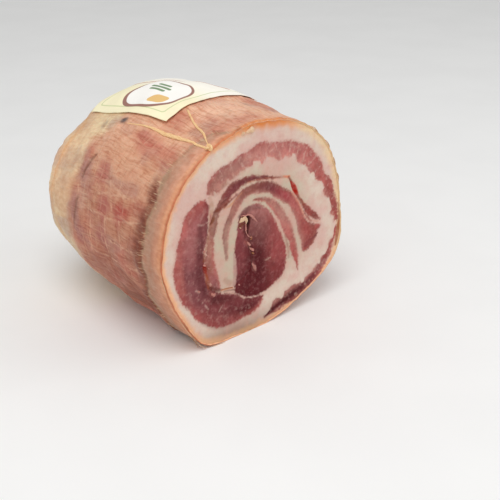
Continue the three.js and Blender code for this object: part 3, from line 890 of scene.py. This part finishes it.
LABEL_SIDES = (118, 123.5, 52)
LABEL_BULGE = 2.4
LABEL_FRONT = (43.5, 52)
LABEL_BACK = 121
LABEL_THICKNESS = 0.35
LABEL_LIFT = 0.4
LABEL_CURL = 1.4
LABEL_CURL_REACH = 0.3
LABEL_WAVE = 0.5
LABEL_CELLS = (120, 96)
LABEL_SIZE = (88, 75.5)


def label_point(u, v, lift):
    near_front, near_back, far_side = LABEL_SIDES
    near = mix(near_front, near_back, v) + 4 * LABEL_BULGE * v * (1 - v)
    angle = mix(near, far_side, u)
    back = mix(mix(*LABEL_FRONT, u), LABEL_BACK, v)
    curl = LABEL_CURL * np.maximum(0, 1 - np.hypot(u, v) / LABEL_CURL_REACH) ** 2
    wave = LABEL_WAVE * (1 + np.sin(u * 9 + 1) * np.sin(v * 7))
    return roll_point(angle, back, LABEL_LIFT + curl + wave + lift)


def make_label():
    across, along = (cells + 1 for cells in LABEL_CELLS)
    u, v = np.meshgrid(np.linspace(0, 1, across), np.linspace(0, 1, along), indexing="ij")
    top = label_point(u, v, LABEL_THICKNESS).reshape(-1, 3)
    bottom = label_point(u, v, 0).reshape(-1, 3)
    faces = grid_faces(across, along, closed=False)
    faces += [[corner + len(top) for corner in reversed(face)] for face in faces]
    edge = border(across, along)
    faces += strip_faces(edge + len(top), edge)
    sheet = np.stack([u * LABEL_SIZE[0], v * LABEL_SIZE[1], 0 * u], -1).reshape(-1, 3)
    values = {"sheet": np.vstack([sheet, sheet])}
    return make_piece("label_sheet", np.vstack([top, bottom]), faces, "label", values)


# Twine: two flattened strands on the wall and their knot at the rim, as angle, back and half width

STRAND_SIDES = 16
STRAND_SUNK = 0.15
PLIES = 3
PLY_DEPTH = 0.1
PLY_TWIST = 0.9
LONG_STRAND = [
    (120.3, 1.6, 0.7), (120.6, 10, 0.8), (121, 17, 0.9), (122, 27, 1.3), (123.2, 37, 1.4), (124.2, 47, 0.9),
    (126, 58, 0.45), (128, 68, 0.3),
]
SHORT_STRAND = [
    (119.6, 2.4, 0.3), (118, 6, 0.25), (116.2, 10, 0.45), (113.5, 16, 0.75), (110.5, 28, 0.7),
    (105.5, 42, 0.6),
]
KNOT_ANGLE = 120
KNOT_BACK = 1.2
KNOT_SIZE = (2.1, 2.3, 1.7)
KNOT_TWINE = 0.75


def unit(directions):
    return directions / np.linalg.norm(directions, axis=1, keepdims=True)


def tube(centre, out, half_width, half_height, closed=False):
    """A tube of twisted plies along a line of points, wide across the surface it lies on."""
    run = np.gradient(centre, axis=0)
    if closed:
        run = np.roll(centre, -1, axis=0) - np.roll(centre, 1, axis=0)
    side = unit(np.cross(unit(run), out))
    up = np.cross(side, unit(run))
    step = np.linalg.norm(np.diff(centre, axis=0, prepend=centre[:1]), axis=1).cumsum()[:, None]
    turn = 2 * np.pi * np.arange(STRAND_SIDES) / STRAND_SIDES
    ply = 1 + PLY_DEPTH * np.cos(PLIES * turn + PLY_TWIST * step)
    wide = half_width[:, None] * np.cos(turn) * ply
    high = half_height[:, None] * np.sin(turn) * ply
    grid = centre[:, None] + side[:, None] * wide[..., None] + up[:, None] * high[..., None]
    points = grid.reshape(-1, 3)
    grain = np.stack(np.broadcast_arrays(step, 2 * turn, 0.0), -1).reshape(-1, 3)
    faces = grid_faces(len(centre), STRAND_SIDES, closed=True)
    first = np.arange(STRAND_SIDES)
    last = first + len(points) - STRAND_SIDES
    if closed:
        return points, faces + strip_faces(first, last), grain
    points = np.vstack([points, centre[:1], centre[-1:]])
    grain = np.vstack([grain, grain[:1], grain[-1:]])
    faces += fan_faces(first, len(points) - 2)
    faces += fan_faces(last, len(points) - 1, turned_over=True)
    return points, faces, grain


def outward(angle):
    a = np.radians(angle)
    return np.stack([np.cos(a), 0 * a, np.sin(a)], -1)


def strand(route, flatness=0.6):
    angle, back, half_width, *proud = curve(route, 16).T
    half_height = half_width * flatness
    lift = half_height - STRAND_SUNK + (proud[0] if proud else 0)
    centre = roll_point(angle, back, fine_relief(angle, back) + lift)
    return tube(centre, outward(angle), half_width, half_height)


def knot():
    """An overhand knot squeezed to its size."""
    t = np.linspace(0, 2 * np.pi, 120, endpoint=False)
    loop = np.stack([np.sin(t) + 2 * np.sin(2 * t), np.cos(t) - 2 * np.cos(2 * t), -np.sin(3 * t)], -1)
    loop = loop / (2.6, 2.6, 1.3) * (np.array(KNOT_SIZE) - 0.6)
    out = outward(np.array(KNOT_ANGLE))
    side = np.array([out[2], 0, -out[0]])
    middle = roll_point(np.array(KNOT_ANGLE), np.array(KNOT_BACK), KNOT_SIZE[2] - 0.4)
    centre = middle + loop @ np.array([side, (0, 1, 0), out])
    half = np.full(len(t), KNOT_TWINE)
    return tube(centre, np.broadcast_to(out, centre.shape), half, half, closed=True)


def joined(parts):
    """Several meshes as one."""
    points, faces, values = [], [], []
    first = 0
    for part_points, part_faces, part_values in parts:
        points.append(part_points)
        values.append(part_values)
        faces += [[corner + first for corner in face] for face in part_faces]
        first += len(part_points)
    return np.vstack(points), faces, np.vstack(values)


def make_twine():
    points, faces, grain = joined([strand(LONG_STRAND), strand(SHORT_STRAND, flatness=0.8), knot()])
    return make_piece("twine_strands", points, faces, "twine", {"grain": grain})


# Shreds: lumps and threads that stand out of the cut, as x, z and half width

CREAM = rgb(222, 190, 156)
OCHRE = rgb(176, 112, 74)
ROSY = rgb(194, 132, 122)
SHREDS = [
    (CREAM, [
        (-14.2, 79, 0.4), (-12.8, 80, 1.2), (-11, 80.8, 1.5), (-9.3, 80.4, 1.4), (-8.4, 78.8, 1),
        (-8.5, 77, 0.3),
    ]),
    (ROSY, [(-13, 83.2, 0.2), (-8.6, 82.5, 0.6), (-7.2, 82.6, 0.3)]),
    (ROSY, [(-7.8, 83.2, 0.3), (-4, 80.8, 0.8), (0.7, 75.7, 0.2)]),
    (CREAM * 0.9, [(-14.1, 75.9, 0.2), (-13.4, 75.4, 0.5), (-12.8, 75, 0.2)]),
    (ROSY, [(-8.8, 77, 0.4), (-8.8, 73.4, 0.6), (-8.2, 71, 0.35), (-6.5, 67.8, 0.25), (-3.6, 65.8, 0.15)]),
    (OCHRE, [
        (-5.3, 66, 0.15), (-4.4, 66.8, 0.22), (-3.6, 66.2, 0.22), (-4, 65.2, 0.22), (-5.2, 65.2, 0.15),
    ]),
    (ROSY, [(-7.7, 64.2, 0.3), (-5.5, 61.5, 0.9), (-4.8, 60.4, 0.3)]),
    (ROSY, [(-5.6, 59.6, 0.3), (-2.6, 57, 0.8), (-1.8, 56.3, 0.3)]),
    (OCHRE * 0.8, [(-3.4, 55.4, 0.2), (-2.2, 54.6, 0.5), (-1.4, 54, 0.2)]),
    (ROSY * 0.8, [(-3.2, 48, 0.3), (-1.4, 44.6, 1.1), (0, 41.6, 0.3)]),
    (ROSY, [(-43, 68.2, 0.2), (-42, 67.8, 0.6), (-41.1, 67.4, 0.2)]),
    (ROSY, [(-40.2, 65, 0.15), (-39.5, 64.2, 0.45), (-39, 63.4, 0.15)]),
    (ROSY * 1.1, [(-43.1, 59.4, 0.3), (-42.2, 58.8, 0.7), (-41.5, 58.1, 0.3)]),
    (ROSY, [(-39.9, 56.4, 0.15), (-39.2, 55.8, 0.45), (-38.7, 55.1, 0.15)]),
    (ROSY, [(-38.8, 44.8, 0.15), (-38.2, 44, 0.5), (-37.8, 43.2, 0.15)]),
    (ROSY, [(-48, 43.2, 0.2), (-47, 42.5, 0.6), (-46.1, 41.9, 0.2)]),
    (ROSY, [(-37.4, 38.2, 0.3), (-36.6, 37.2, 1.1), (-35.2, 36.1, 1.1), (-34.4, 35.2, 0.3)]),
    (OCHRE, [(-29, 37.8, 0.15), (-25, 37.4, 0.35), (-21, 36.6, 0.3), (-19.6, 36, 0.15)]),
    (ROSY, [(-14.8, 36.8, 0.2), (-14.2, 36.2, 0.45), (-13.8, 35.6, 0.2)]),
    (ROSY, [(-37.4, 91.6, 0.2), (-36.6, 88.6, 0.4), (-37.8, 85, 0.2)]),
    (ROSY, [(-34.2, 106.2, 0.15), (-33.5, 105.8, 0.5), (-32.8, 105.4, 0.15)]),
    (CREAM, [(-12.2, 135, 0.3), (-10.9, 135.4, 0.9), (-8.8, 135.7, 0.3)]),
    (CREAM * 1.1, [(-8.4, 135.5, 0.4), (-4.8, 136.4, 1.6), (-3, 136.6, 1.3), (-1.6, 136.8, 0.4)]),
]

# Frayed ends of the casing round the rim, as angle, back, half width and how far proud
FRAYED_ENDS = [
    [(235, 15, 0.2, 0.2), (236, 11, 0.35, 1.0), (237, 8, 0.35, 2.4), (237.4, 5.3, 0.12, 4.8)],
    [(228, 3.0, 0.15, 0.2), (231, 1.6, 0.3, 0.7), (234.5, 0.8, 0.3, 1.2), (238, 0.4, 0.12, 2.2)],
    [(214, 2.4, 0.15, 0.2), (219, 1.6, 0.3, 0.5), (225, 1.2, 0.35, 0.5), (230, 2.0, 0.15, 0.3)],
    [(240, 0.6, 0.15, 0.2), (243, 0.0, 0.3, 0.6), (246, -0.4, 0.3, 1.0), (249, -0.6, 0.12, 1.0)],
    [(183, 0.9, 0.1, 0), (188, 0.5, 0.25, 0.2), (193, 0.7, 0.25, 0.2), (197, 1.2, 0.1, 0)],
    [(44, 0.9, 0.15, 0), (46.5, 0.4, 0.4, 0.2), (49, 0.5, 0.4, 0.3), (51, 1.0, 0.1, 0.1)],
    [(31, 1.2, 0.15, 0), (33.5, 0.6, 0.45, 0.3), (36.5, 0.5, 0.5, 0.4), (39, 1.0, 0.1, 0.1)],
    [(20, 1.0, 0.1, 0), (22, 0.4, 0.4, 0.2), (24.5, 0.3, 0.45, 0.4), (26.5, 0.8, 0.1, 0.1)],
    [(9, 1.1, 0.1, 0), (12, 0.5, 0.35, 0.2), (15, 0.4, 0.45, 0.3), (17, 0.9, 0.1, 0.1)],
]
SHRED_FLATNESS = 0.5


def shred(route):
    """A lump or thread that lies half sunk on the cut."""
    x, z, half_width = curve(route, 8).T
    half_height = SHRED_FLATNESS * half_width
    place = np.stack([x, z, 0 * x], -1)
    surface = face_depth(x, z, 0 * x, place, 0.5 + 0 * x)
    centre = np.stack([x, np.minimum(surface, 1) - 0.5 * half_height, z], -1)
    half_width = half_width * (1 + 0.45 * noise(place, 0.7, 26))
    return tube(centre, np.broadcast_to((0.0, -1.0, 0.0), centre.shape), half_width, half_height)


def make_shreds():
    lying = [(colour, shred(route)) for colour, route in SHREDS]
    lying += [(CREAM, strand(route)) for route in FRAYED_ENDS]
    parts = []
    for colour, (points, faces, _) in lying:
        parts.append((points, faces, np.broadcast_to(colour, points.shape)))
    points, faces, tint = joined(parts)
    return make_piece("shreds", points, faces, "pancetta", {"tint": tint})


# Materials

SOFT_FLESH = {"Subsurface_Radius": (1, 0.4, 0.25), "Subsurface_Scale": 0.0015}


class Paint:
    """The nodes of one material, with a short call for each kind."""

    def __init__(self, name):
        self.material = bpy.data.materials.new(name)
        self.material.use_nodes = True
        self.nodes = self.material.node_tree.nodes
        self.links = self.material.node_tree.links
        self.shader = self.nodes["Principled BSDF"]
        metres = self.add("ShaderNodeTexCoord").outputs["Object"]
        self.place = self.vector("MULTIPLY", metres, (1 / MM,) * 3)

    def fill(self, socket, value):
        if isinstance(value, bpy.types.NodeSocket):
            self.links.new(value, socket)
        elif hasattr(value, "__len__") and len(value) == 3 and len(socket.default_value) == 4:
            socket.default_value = (*value, 1)
        else:
            socket.default_value = value

    def add(self, kind, *given, **settings):
        """A node with its settings, its first sockets filled with what is given."""
        node = self.nodes.new(kind)
        for name, value in settings.items():
            setattr(node, name, value)
        for socket, value in zip(node.inputs, given):
            self.fill(socket, value)
        return node

    def number(self, operation, a, b=0.0):
        return self.add("ShaderNodeMath", a, b, operation=operation).outputs[0]

    def plus(self, a, b):
        return self.number("ADD", a, b)

    def minus(self, a, b):
        return self.number("SUBTRACT", a, b)

    def times(self, a, b):
        return self.number("MULTIPLY", a, b)

    def larger(self, a, b):
        return self.number("MAXIMUM", a, b)

    def off(self, value, middle):
        """How far a value is from its middle."""
        return self.number("ABSOLUTE", self.minus(value, middle))

    def vector(self, operation, a, b):
        return self.add("ShaderNodeVectorMath", a, b, operation=operation).outputs[0]

    def step(self, value, low, high, start=0.0, end=1.0):
        """Value turned smoothly from start at low to end at high."""
        given = (value, low, high, start, end)
        return self.add("ShaderNodeMapRange", *given, interpolation_type="SMOOTHSTEP").outputs[0]

    def noise(self, place, size, detail=2.0, roughness=0.5, output=0):
        """Noise about as coarse as size, in the units of place, stretched where size has three numbers."""
        sizes = size if isinstance(size, tuple) else (size,) * 3
        given = (self.vector("DIVIDE", place, sizes), 0, 1, detail, roughness)
        return self.add("ShaderNodeTexNoise", *given).outputs[output]

    def mix(self, share, a, b, blend_type="MIX"):
        node = self.add("ShaderNodeMix", share, data_type="RGBA", blend_type=blend_type)
        self.fill(node.inputs[6], a)
        self.fill(node.inputs[7], b)
        return node.outputs[2]

    def dimmed(self, share, colour, stains_and_shade):
        """A colour darkened by another's share."""
        return self.mix(share, colour, stains_and_shade, "MULTIPLY")

    def value(self, name, kind="Fac"):
        return self.add("ShaderNodeAttribute", attribute_name=name).outputs[kind]

    def split(self, vector):
        return self.add("ShaderNodeSeparateXYZ", vector).outputs

    def bump(self, height, depth, strength):
        node = self.add("ShaderNodeBump", strength, depth * MM)
        self.fill(node.inputs["Height"], height)
        return node.outputs[0]

    def finish(self, colour, roughness, normal=None, **fixed):
        self.fill(self.shader.inputs["Base Color"], colour)
        self.fill(self.shader.inputs["Roughness"], roughness)
        if normal is not None:
            self.fill(self.shader.inputs["Normal"], normal)
        for name, value in fixed.items():
            self.shader.inputs[name.replace("_", " ")].default_value = value
        return self.material


def cut_meat():
    p = Paint("cut_meat")
    fat_here = p.value("fat_tint", "Color")
    wander = p.step(p.noise(p.place, 1.8, 3), 0.25, 0.75, -0.6, 0.6)
    is_lean = p.step(p.plus(p.value("lean"), wander), -1.0, 0.8, 1, 0)
    cleft = p.times(p.value("cleft"), p.step(p.noise(p.place, 2.6, 3), 0.35, 0.62))
    specks = p.times(p.step(p.noise(p.place, 2.8, 1), 0.56, 0.76, 0, 0.6), p.value("marble"))
    fibre = p.noise(p.value("grain", "Vector"), (2.2, 4, 3), 2, 0.55)
    blotches = p.noise(p.place, 3.4, 4, 0.6)
    cloud = p.noise(p.place, 2.2, 3, 0.6)
    meat = p.dimmed(p.step(fibre, 0.35, 0.65, 0.32, 0), p.value("lean_tint", "Color"), (0.7, 0.5, 0.52))
    meat = p.dimmed(p.step(blotches, 0.36, 0.6, 0.45, 0), meat, (0.72, 0.54, 0.56))
    meat = p.mix(p.step(cloud, 0.48, 0.76, 0, 0.24), meat, rgb(196, 134, 132))
    meat = p.mix(p.larger(specks, cleft), meat, fat_here)
    pink = p.step(p.noise(p.place, 5, 3), 0.42, 0.75, 0, 0.35)
    fat = p.mix(pink, fat_here, rgb(216, 162, 148))
    fat = p.dimmed(p.step(p.noise(p.place, 1.6, 4, 0.6), 0.4, 0.7, 0, 0.3), fat, (0.86, 0.8, 0.74))
    height = p.plus(p.times(fibre, is_lean), p.noise(p.place, 1.1, 4))
    wet = p.step(p.noise(p.place, 4, 3), 0.3, 0.7, 0.4, 0.55)
    return p.finish(p.mix(is_lean, fat, meat), wet, p.bump(height, 0.12, 0.5),
                    Subsurface_Weight=0.12, Specular_IOR_Level=0.08, **SOFT_FLESH)


def lines(p, distance, period, width):
    """Thin lines a period apart, from 0 between them to 1 on them."""
    phase = p.number("FRACT", p.number("DIVIDE", distance, period))
    return p.step(p.off(phase, 0.5), 0.0, width / period, 1, 0)


def cased_wall():
    p = Paint("cased_wall")
    wrap = p.value("wrap", "Vector")
    flow = p.noise(p.place, 13, output="Color")
    bent = p.vector("ADD", wrap, p.vector("MULTIPLY", flow, (4, 4, 0)))
    around, along, _ = p.split(bent)
    _, back, past = p.split(wrap)
    cased = p.times(p.step(past, 0, 2), p.step(back, 86, 102, 1, 0))

    net = p.larger(lines(p, around, 6.2, 0.9), lines(p, along, 7.3, 0.9))
    net = p.times(net, p.step(p.noise(p.place, 12, 3), 0.42, 0.62, 0, 0.75))
    frayed = p.step(p.noise(p.place, 3, 3), 0.3, 0.7, -0.5, 0.6)
    thread = p.step(p.plus(p.value("thread"), frayed), 0, 1, 1, 0)
    worn = p.step(p.noise(p.place, 7, 3), 0.35, 0.6, 0.2, 0.55)
    thread = p.times(p.times(thread, worn), cased)
    ripple = p.step(p.noise(bent, (1.8, 11, 50), 3, 0.6), 0.48, 0.72, 0, 0.7)
    pale = p.times(p.larger(net, ripple), cased)
    furrow = p.noise(p.vector("ADD", bent, (7, 3, 0)), (1.5, 13, 50), 3, 0.55)
    crease = p.noise(bent, (10, 1.8, 50), 3, 0.6)
    mottle = p.noise(wrap, (3, 4, 50), 4, 0.6)

    creased = p.step(cased, 0, 1, 0.25, 1)
    colour = p.dimmed(p.step(mottle, 0.35, 0.65, 0, 0.45), p.value("tint", "Color"), (0.8, 0.62, 0.54))
    # Painted shade: the colour darkens in the low furrows and creases of the bump.
    dark = p.times(p.step(furrow, 0.34, 0.52, 0.65, 0), creased)
    colour = p.dimmed(dark, colour, (0.74, 0.54, 0.46))
    dark = p.times(p.step(crease, 0.34, 0.5, 0.4, 0), creased)
    colour = p.dimmed(dark, colour, (0.76, 0.6, 0.5))
    colour = p.mix(p.times(pale, 0.36), colour, rgb(236, 194, 160))
    colour = p.mix(thread, colour, rgb(226, 180, 150))
    comb = p.step(p.noise(wrap, (1.4, 6, 50), 4, 0.65), 0.32, 0.56, 0.6, 1)
    colour = p.mix(p.times(p.value("tear"), comb), colour, rgb(112, 50, 32))
    fringe = p.times(p.step(past, -5, -1), p.step(past, 0.5, 4, 1, 0))
    fringe = p.times(fringe, p.step(p.noise(wrap, (0.9, 8, 50), 2), 0.55, 0.68, 0, 0.7))
    colour = p.mix(fringe, colour, rgb(216, 184, 148))

    height = p.plus(p.times(p.larger(pale, thread), 0.8), p.times(furrow, 1.4))
    height = p.plus(height, p.times(crease, 0.9))
    return p.finish(colour, p.step(mottle, 0.3, 0.7, 0.42, 0.6), p.bump(height, 0.35, 0.8),
                    Subsurface_Weight=0.1, Specular_IOR_Level=0.3, **SOFT_FLESH)


def label_print():
    """Places on the sheet are in millimetres from its near front corner."""
    p = Paint("label_print")
    across, along, _ = p.split(p.value("sheet", "Vector"))

    def inside_box(middle_u, middle_v, half_u, half_v, corner):
        """1 inside a rounded rectangle, 0 outside."""
        out_u = p.larger(p.minus(p.off(across, middle_u), half_u - corner), 0)
        out_v = p.larger(p.minus(p.off(along, middle_v), half_v - corner), 0)
        far = p.number("SQRT", p.plus(p.times(out_u, out_u), p.times(out_v, out_v)))
        return p.step(far, corner - 0.25, corner + 0.25, 1, 0)

    white = rgb(255, 252, 246)
    cloudy = p.step(p.noise(p.place, 9, 3), 0.3, 0.7)
    cream = p.mix(cloudy, rgb(255, 247, 208), rgb(250, 240, 204))
    # Painted light: the sheet turns from cream to white towards its far side, over the top of the roll.
    colour = p.mix(p.step(across, 24, 52, 0, 0.8), cream, white)
    frame_line = p.minus(inside_box(44, 37.75, 38.8, 32, 2), inside_box(44, 37.75, 37.9, 31.1, 1.6))
    colour = p.mix(p.times(frame_line, 0.7), colour, rgb(196, 208, 152))
    slant = p.plus(across, p.times(along, 0.48))
    stripe = p.times(p.step(p.off(slant, 73), 1.1, 1.5, 1, 0), p.step(along, 9, 10))
    colour = p.mix(stripe, colour, rgb(200, 146, 130))
    colour = p.mix(inside_box(25, 31, 19.5, 22, 15), colour, rgb(160, 116, 104))
    colour = p.mix(inside_box(25.6, 31, 17.4, 20, 13.5), colour, white)
    colour = p.mix(inside_box(17, 22, 5, 7, 4), colour, rgb(238, 196, 128))
    for middle, half in ((27, 7), (30.5, 9), (34, 6)):
        colour = p.mix(inside_box(middle, 34, 1.1, half, 1.1), colour, rgb(128, 152, 118))
    height = p.plus(p.noise(p.place, 0.5, 3), p.noise(p.place, 6, 2))
    return p.finish(colour, 0.75, p.bump(height, 0.12, 0.5), Specular_IOR_Level=0.3)


def straw_twine():
    p = Paint("straw_twine")
    fibres = p.noise(p.value("grain", "Vector"), (3, 0.5, 1), 3, 0.6)
    colour = p.mix(p.step(fibres, 0.3, 0.7), rgb(226, 172, 114), rgb(255, 222, 172))
    return p.finish(colour, 0.7, p.bump(fibres, 0.15, 0.8), Specular_IOR_Level=0.3)


def fatty_shred():
    p = Paint("fatty_shred")
    patch = p.step(p.noise(p.place, 1.2, 3), 0.35, 0.65, 0, 0.5)
    colour = p.dimmed(patch, p.value("tint", "Color"), (0.75, 0.55, 0.42))
    return p.finish(colour, 0.5, p.bump(p.noise(p.place, 0.6, 3), 0.15, 0.7), Specular_IOR_Level=0.3)


def studio_floor():
    p = Paint("studio_floor")
    colour = p.mix(p.step(p.noise(p.place, 90, 2), 0.3, 0.7), (0.93, 0.93, 0.92), (0.95, 0.95, 0.94))
    return p.finish(colour, 0.85)


def dress(piece, material):
    piece.data.materials.clear()
    piece.data.materials.append(material)


# Studio, in metres, each light with its name, place, width and watts

LIGHTS = [("key", (-0.5, -0.5, 1.3), 1.0, 9), ("fill", (0.9, -0.9, 0.7), 1.0, 2.5)]
LIGHT_TARGET = (0, 0, 0.06)
SURROUNDINGS = 0.56
FLOOR = [(-6, -6, 0), (6, -6, 0), (6, 6, 0), (-6, 6, 0)]


def make_floor():
    mesh = bpy.data.meshes.new("floor")
    mesh.from_pydata(FLOOR, [], [range(len(FLOOR))])
    floor = bpy.data.objects.new("floor", mesh)
    bpy.context.scene.collection.objects.link(floor)
    dress(floor, studio_floor())


def aim(thing, place, target):
    thing.location = place
    thing.rotation_euler = (Vector(target) - Vector(place)).to_track_quat("-Z", "Y").to_euler()
    bpy.context.scene.collection.objects.link(thing)


def make_light(name, place, size, watts):
    lamp = bpy.data.lights.new(name, "AREA")
    lamp.shape = "DISK"
    lamp.size = size
    lamp.energy = watts
    aim(bpy.data.objects.new(name, lamp), place, LIGHT_TARGET)


def make_studio():
    make_floor()
    world = bpy.data.worlds.new("studio")
    world.use_nodes = True
    background = world.node_tree.nodes["Background"]
    background.inputs["Color"].default_value = (1, 1, 1, 1)
    background.inputs["Strength"].default_value = SURROUNDINGS
    bpy.context.scene.world = world
    for light in LIGHTS:
        make_light(*light)
    bpy.context.scene.view_settings.view_transform = "Standard"


def make_camera():
    lens = bpy.data.cameras.new("camera")
    lens.lens = FOCAL_LENGTH
    lens.sensor_width = SENSOR_WIDTH
    camera = bpy.data.objects.new("camera", lens)
    place = Vector((np.array(CAMERA_PLACE) + SHIFT) * MM)
    aim(camera, place, place + Vector(CAMERA_LOOK))
    bpy.context.scene.camera = camera


make_camera()
make_studio()
dress(make_cut_face(), cut_meat())
dress(make_casing(), cased_wall())
dress(make_label(), label_print())
dress(make_twine(), straw_twine())
dress(make_shreds(), fatty_shred())

bpy.context.view_layer.update()
